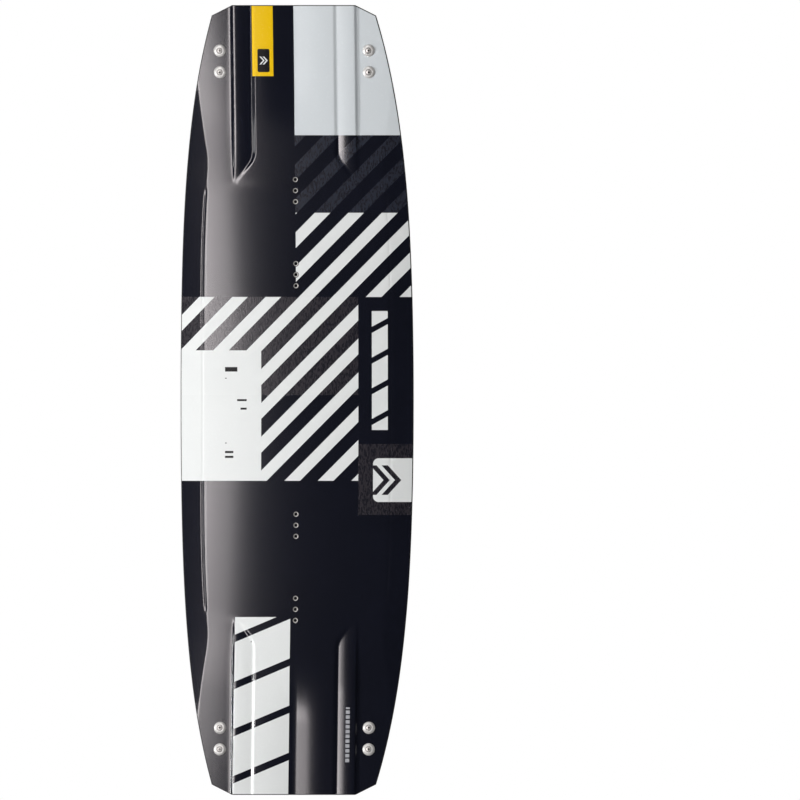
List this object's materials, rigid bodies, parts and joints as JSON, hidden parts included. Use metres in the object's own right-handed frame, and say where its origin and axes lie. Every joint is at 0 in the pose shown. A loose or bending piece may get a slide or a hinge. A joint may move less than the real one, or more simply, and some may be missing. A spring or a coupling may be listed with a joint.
{
  "type": "twin-tip kiteboard",
  "caption": "Twin-tip kiteboard with a rockered, channelled laminated shell, four screwed-on fins and threaded inserts for bindings.",
  "frame": {"origin": "centre of the bounding box: on the board's centre plane, half way along it, and half way between the deck's tips and the fins' edges", "axes": "+Z along the board from the lower to the upper tip, +X across it to the right as the deck is seen, -Y out of the deck, +Y out of the base on the fins' side"},
  "size_m": [0.413, 0.0676, 1.3902],
  "materials": {
    "deck_print": "glossy near-black deck sheet over fine weave, with white stripes and panels and a yellow tab",
    "base_print": "satin slate-grey base sheet with white stripes and pale panels",
    "carbon_laminate": "cured glass and carbon laminate",
    "paulownia": "milled raw paulownia",
    "rail_plastic": "satin black ABS",
    "stainless": "bright stainless steel",
    "brass": "turned brass",
    "fin_white": "polished white glass laminate"
  },
  "bodies": {
    "root": {"deck_sheet": "deck_print", "base_sheet": "base_print", "top_laminate": "carbon_laminate", "bottom_laminate": "carbon_laminate", "core_stave_left_outer": "paulownia", "core_stave_left": "paulownia", "core_stave_centre": "paulownia", "core_stave_right": "paulownia", "core_stave_right_outer": "paulownia", "side_rail_left": "rail_plastic", "side_rail_right": "rail_plastic", "tip_rail_upper": "rail_plastic", "tip_rail_lower": "rail_plastic", "binding_insert_1": "stainless", "binding_insert_2": "stainless", "binding_insert_3": "stainless", "binding_insert_4": "stainless", "binding_insert_5": "stainless", "binding_insert_6": "stainless", "binding_insert_7": "stainless", "binding_insert_8": "stainless", "binding_insert_9": "stainless", "binding_insert_10": "stainless", "binding_insert_11": "stainless", "binding_insert_12": "stainless", "fin_upper_left": "fin_white", "cup_washer_upper_left_1": "stainless", "fin_screw_upper_left_1": "stainless", "fin_insert_upper_left_1": "brass", "cup_washer_upper_left_2": "stainless", "fin_screw_upper_left_2": "stainless", "fin_insert_upper_left_2": "brass", "fin_upper_right": "fin_white", "cup_washer_upper_right_1": "stainless", "fin_screw_upper_right_1": "stainless", "fin_insert_upper_right_1": "brass", "cup_washer_upper_right_2": "stainless", "fin_screw_upper_right_2": "stainless", "fin_insert_upper_right_2": "brass", "fin_lower_left": "fin_white", "cup_washer_lower_left_1": "stainless", "fin_screw_lower_left_1": "stainless", "fin_insert_lower_left_1": "brass", "cup_washer_lower_left_2": "stainless", "fin_screw_lower_left_2": "stainless", "fin_insert_lower_left_2": "brass", "fin_lower_right": "fin_white", "cup_washer_lower_right_1": "stainless", "fin_screw_lower_right_1": "stainless", "fin_insert_lower_right_1": "brass", "cup_washer_lower_right_2": "stainless", "fin_screw_lower_right_2": "stainless", "fin_insert_lower_right_2": "brass"}
  },
  "joints": []
}
